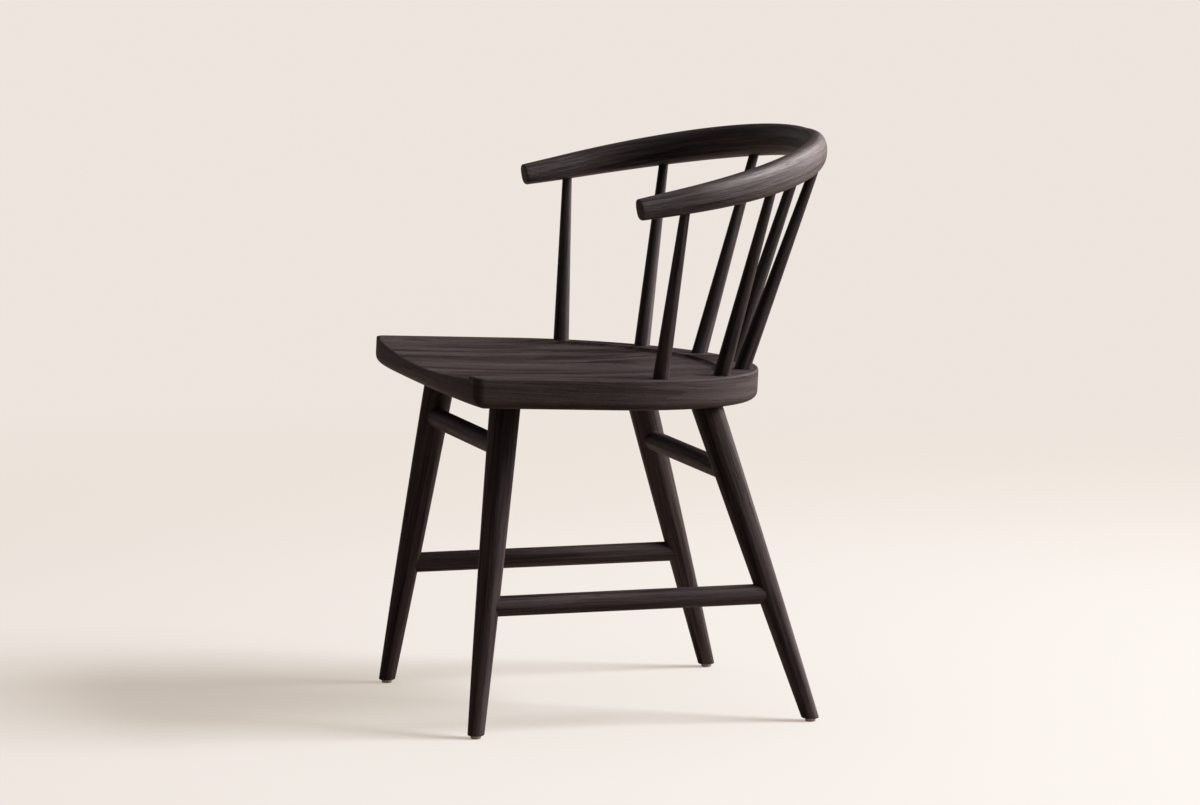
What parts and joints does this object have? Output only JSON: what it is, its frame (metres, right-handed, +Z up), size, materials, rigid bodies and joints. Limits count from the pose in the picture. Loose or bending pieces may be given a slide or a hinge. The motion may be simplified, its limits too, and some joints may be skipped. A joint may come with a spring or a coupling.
{
  "type": "spindle back dining chair",
  "caption": "Low-backed wooden dining chair with a curved arm bow on tapered spindles, a hollowed solid seat, and splayed tapered legs tied by round stretchers.",
  "frame": {"origin": "on the floor, under the middle of the chair's outline seen from above", "axes": "+Z up, -Y the way the sitter faces, +X towards the sitter's left"},
  "size_m": [0.547, 0.5344, 0.7377],
  "materials": {
    "stained_wood": "very dark brown stain under satin lacquer, open grain",
    "glide_pad": "dull moulded nylon"
  },
  "bodies": {
    "root": {"arm_bow": "stained_wood", "glide_front_left": "glide_pad", "glide_front_right": "glide_pad", "glide_rear_left": "glide_pad", "glide_rear_right": "glide_pad", "leg_front_left": "stained_wood", "leg_front_right": "stained_wood", "leg_rear_left": "stained_wood", "leg_rear_right": "stained_wood", "seat": "stained_wood", "spindle_centre": "stained_wood", "spindle_front_left": "stained_wood", "spindle_front_right": "stained_wood", "spindle_middle_left": "stained_wood", "spindle_middle_right": "stained_wood", "spindle_rear_left": "stained_wood", "spindle_rear_right": "stained_wood", "stretcher_front": "stained_wood", "stretcher_left": "stained_wood", "stretcher_rear": "stained_wood", "stretcher_right": "stained_wood"}
  },
  "joints": []
}
